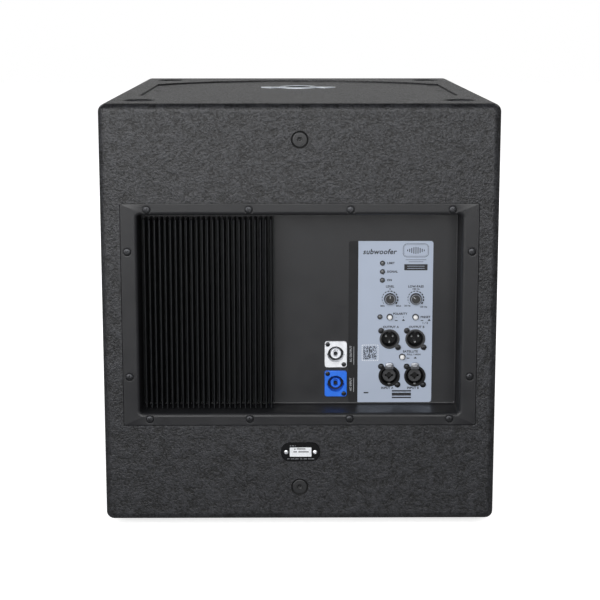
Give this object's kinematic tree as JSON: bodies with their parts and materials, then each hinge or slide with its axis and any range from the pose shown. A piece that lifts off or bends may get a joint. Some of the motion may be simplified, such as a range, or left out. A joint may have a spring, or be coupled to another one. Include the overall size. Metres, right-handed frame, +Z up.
{
  "type": "powered bass cabinet",
  "caption": "Powered bass loudspeaker box with a recessed amplifier panel, cooling fins, locking sockets, knobs, bar handles, pole socket and rubber feet.",
  "frame": {"origin": "on the ground, at the centre of the box's footprint", "axes": "+X to the right as one faces the amplifier, +Y from the amplifier side to the grille side, +Z up"},
  "size_m": [0.45, 0.55, 0.491],
  "materials": {
    "coated_ply": "birch plywood with a coarse textured black coating",
    "raw_ply": "bare birch plywood",
    "pole_metal": "satin cast metal",
    "rubber": "matt black rubber",
    "handle_plastic": "fine-grained black plastic",
    "grille_metal": "black powder-coated perforated steel",
    "foam": "open-cell black foam",
    "amp_metal": "fine-textured dark grey powder coat",
    "heat_sink_metal": "black anodised",
    "label": "printed light blue-grey film",
    "cover_metal": "zinc-plated sheet",
    "circuit_board": "green solder mask",
    "winding": "taped copper winding",
    "knob_plastic": "matt black plastic",
    "button_plastic": "white plastic",
    "led_lens": "smoked lens",
    "connector_plastic": "glass-filled black plastic",
    "latch_metal": "nickel-plated steel",
    "socket_white": "white glass-filled plastic",
    "socket_blue": "blue glass-filled plastic",
    "bolt_steel": "black oxide",
    "basket_metal": "black painted die casting",
    "motor_steel": "ferrite and blackened steel",
    "cone_paper": "treated black pulp",
    "spider_cloth": "phenolic-stiffened cloth",
    "coil_copper": "enamelled copper wire",
    "plate_plastic": "black plate"
  },
  "bodies": {
    "cabinet": {"left_side_panel": "coated_ply", "right_side_panel": "coated_ply", "top_panel": "coated_ply", "bottom_panel": "coated_ply", "rear_baffle": "coated_ply", "front_baffle": "coated_ply", "top_plate": "coated_ply", "port_board_1": "raw_ply", "port_board_2": "raw_ply", "port_board_3": "raw_ply", "port_board_4": "raw_ply", "side_brace": "raw_ply", "height_brace": "raw_ply", "pole_socket": "pole_metal", "rubber_foot_1": "rubber", "rubber_foot_2": "rubber", "rubber_foot_3": "rubber", "rubber_foot_4": "rubber", "amp_gasket": "rubber", "woofer_gasket": "rubber", "woofer_surround": "rubber", "speaker_cable": "rubber", "handle_left": "handle_plastic", "handle_right": "handle_plastic", "front_grille": "grille_metal", "grille_foam": "foam", "amp_tray": "amp_metal", "heat_sink": "heat_sink_metal", "control_label": "label", "amp_rear_cover": "cover_metal", "amp_board": "circuit_board", "power_board": "circuit_board", "control_board": "circuit_board", "transformer": "winding", "limit_led": "led_lens", "signal_led": "led_lens", "on_led": "led_lens", "polarity_led": "led_lens", "xlr_output_a": "connector_plastic", "xlr_output_b": "connector_plastic", "combo_input_a": "connector_plastic", "combo_input_b": "connector_plastic", "ac_output_socket": "socket_white", "ac_input_socket": "socket_blue", "rigging_bolt_upper": "bolt_steel", "rigging_bolt_lower": "bolt_steel", "woofer_basket": "basket_metal", "woofer_magnet": "motor_steel", "woofer_spider": "spider_cloth", "nameplate": "plate_plastic"},
    "level_knob": {"level_knob": "knob_plastic"},
    "low_pass_knob": {"low_pass_knob": "knob_plastic"},
    "polarity_button": {"polarity_button": "button_plastic"},
    "preset_button": {"preset_button": "button_plastic"},
    "satellite_button": {"satellite_button": "button_plastic"},
    "combo_latch_a": {"combo_latch_a": "latch_metal"},
    "combo_latch_b": {"combo_latch_b": "latch_metal"},
    "cone_assembly": {"woofer_cone": "cone_paper", "dust_cap": "cone_paper", "voice_coil": "coil_copper"}
  },
  "joints": [
    {"name": "level_knob_turn", "type": "hinge", "parent": "cabinet", "child": "level_knob", "pos_m": [0.105, -0.2355, 0.262], "axis": [0, 1, 0], "range_deg": [-135, 135]},
    {"name": "low_pass_knob_turn", "type": "hinge", "parent": "cabinet", "child": "low_pass_knob", "pos_m": [0.135, -0.2355, 0.262], "axis": [0, 1, 0], "range_deg": [-90, 180]},
    {"name": "polarity_button_press", "type": "slide", "parent": "cabinet", "child": "polarity_button", "axis": [0, 1, 0], "range_m": [0, 0.0025], "stiffness_N_per_m": 400, "springref_m": -0.0005},
    {"name": "preset_button_press", "type": "slide", "parent": "cabinet", "child": "preset_button", "axis": [0, 1, 0], "range_m": [0, 0.0025], "stiffness_N_per_m": 400, "springref_m": -0.0005},
    {"name": "satellite_button_press", "type": "slide", "parent": "cabinet", "child": "satellite_button", "axis": [0, 1, 0], "range_m": [0, 0.0025], "stiffness_N_per_m": 400, "springref_m": -0.0005},
    {"name": "combo_latch_a_press", "type": "slide", "parent": "cabinet", "child": "combo_latch_a", "axis": [0, 1, 0], "range_m": [0, 0.0015], "stiffness_N_per_m": 600, "springref_m": -0.0005},
    {"name": "combo_latch_b_press", "type": "slide", "parent": "cabinet", "child": "combo_latch_b", "axis": [0, 1, 0], "range_m": [0, 0.0015], "stiffness_N_per_m": 600, "springref_m": -0.0005},
    {"name": "cone_travel", "type": "slide", "parent": "cabinet", "child": "cone_assembly", "axis": [0, 1, 0], "range_m": [-0.006, 0.006], "stiffness_N_per_m": 6000, "deforming": ["woofer_surround", "woofer_spider"]}
  ]
}
